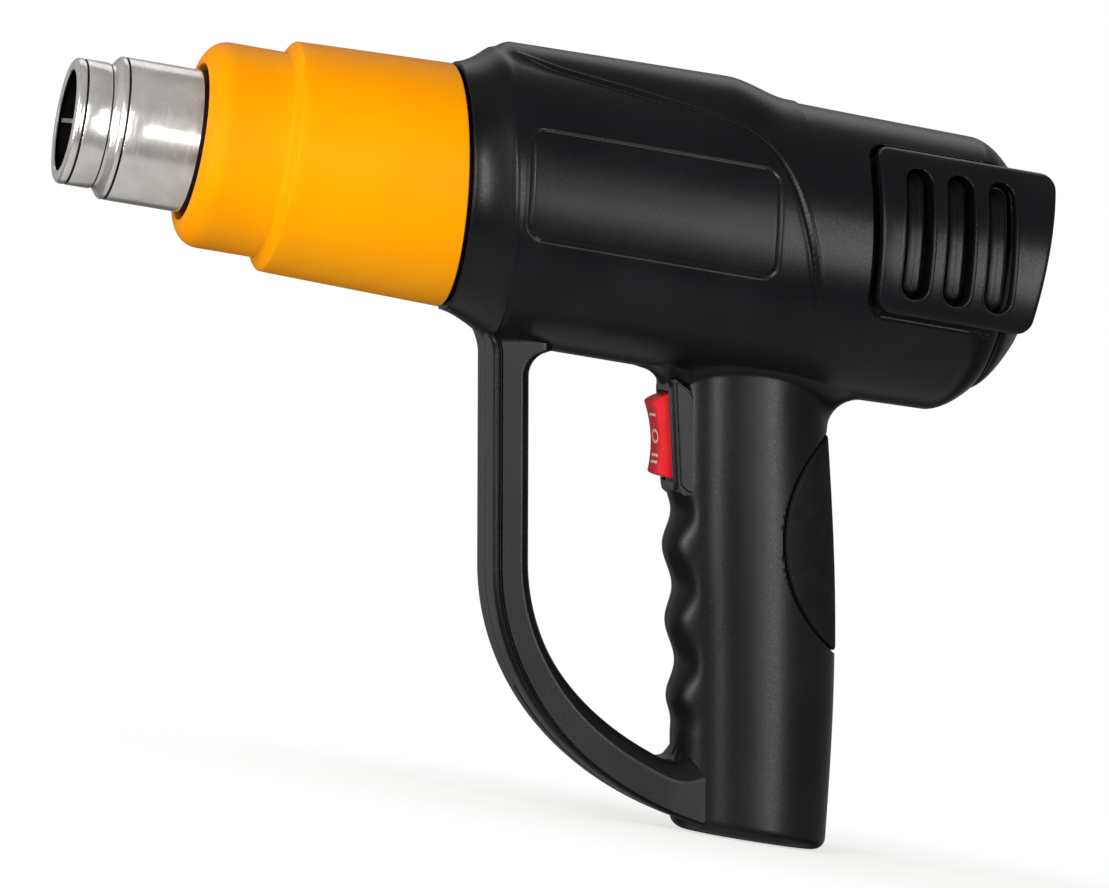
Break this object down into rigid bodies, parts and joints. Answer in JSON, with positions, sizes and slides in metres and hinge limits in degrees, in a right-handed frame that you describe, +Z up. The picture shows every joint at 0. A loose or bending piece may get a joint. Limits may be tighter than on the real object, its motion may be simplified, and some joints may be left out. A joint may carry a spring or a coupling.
{
  "type": "hot air tool",
  "caption": "Pistol-shaped hot air tool with a steel nozzle, amber front shroud, black split housing, closed hand guard, grooved grip, red rocker switch and slotted side air intakes.",
  "frame": {"origin": "centre of the overall box's bottom face, on the plane of the handle's flat end", "axes": "+X along the barrel axis from the nozzle mouth to the rear, +Y to the tool's right side, +Z up from the handle's flat end to the barrel"},
  "size_m": [0.2618, 0.0814, 0.2003],
  "materials": {
    "housing_plastic": "satin black moulded polyamide",
    "shroud_plastic": "satin amber moulded polyamide",
    "nozzle_steel": "polished drawn stainless steel",
    "soft_rubber": "matt soft rubber",
    "rocker_plastic": "glossy red with cream marks",
    "switch_plastic": "black moulded nylon",
    "inner_plastic": "grey moulded plastic",
    "mica": "pressed mica board",
    "ceramic": "unglazed ceramic",
    "heating_wire": "oxidised resistance wire",
    "zinc_steel": "zinc-plated steel",
    "shaft_steel": "ground steel",
    "bearing_brass": "sintered bronze and stamped brass",
    "copper": "bare copper",
    "lamination_steel": "varnished steel laminations",
    "ferrite": "sintered ferrite",
    "graphite": "pressed carbon",
    "board_laminate": "paper laminate board with black diodes"
  },
  "bodies": {
    "tool": {"housing_left": "housing_plastic", "housing_right": "housing_plastic", "front_shroud": "shroud_plastic", "nozzle_tube": "nozzle_steel", "nozzle_insulator": "ceramic", "mica_sleeve": "mica", "heater_plate_upright": "mica", "heater_plate_level": "mica", "heater_coil": "heating_wire", "heater_base": "ceramic", "thermal_cutout": "zinc_steel", "air_duct": "inner_plastic", "motor_mount": "inner_plastic", "motor_can": "zinc_steel", "motor_magnet_upper": "ferrite", "motor_magnet_lower": "ferrite", "motor_bush_front": "bearing_brass", "motor_bush_rear": "bearing_brass", "brush_left": "graphite", "brush_right": "graphite", "motor_end_cap": "inner_plastic", "rectifier_board": "board_laminate", "rear_cap": "housing_plastic", "vent_cover_left": "housing_plastic", "vent_cover_right": "housing_plastic", "grip_inlay": "soft_rubber", "cord_gland": "soft_rubber", "switch_body": "switch_plastic", "switch_terminal_1": "bearing_brass", "switch_terminal_2": "bearing_brass", "switch_terminal_3": "bearing_brass", "housing_screw_1": "zinc_steel", "housing_screw_2": "zinc_steel", "housing_screw_3": "zinc_steel", "housing_screw_4": "zinc_steel", "housing_screw_5": "zinc_steel", "housing_screw_6": "zinc_steel", "housing_screw_7": "zinc_steel"},
    "rocker": {"switch_rocker": "rocker_plastic"},
    "rotor": {"motor_shaft": "shaft_steel", "fan": "inner_plastic", "armature": "lamination_steel", "commutator": "copper"}
  },
  "joints": [
    {"name": "rocker_tilt", "type": "hinge", "parent": "tool", "child": "rocker", "pos_m": [0.04543, 0, 0.10355], "axis": [0, 1, 0], "range_deg": [-10, 10]},
    {"name": "rotor_spin", "type": "hinge", "parent": "tool", "child": "rotor", "pos_m": [0.05, 0, 0.1592], "axis": [1, 0, 0], "continuous": true}
  ]
}
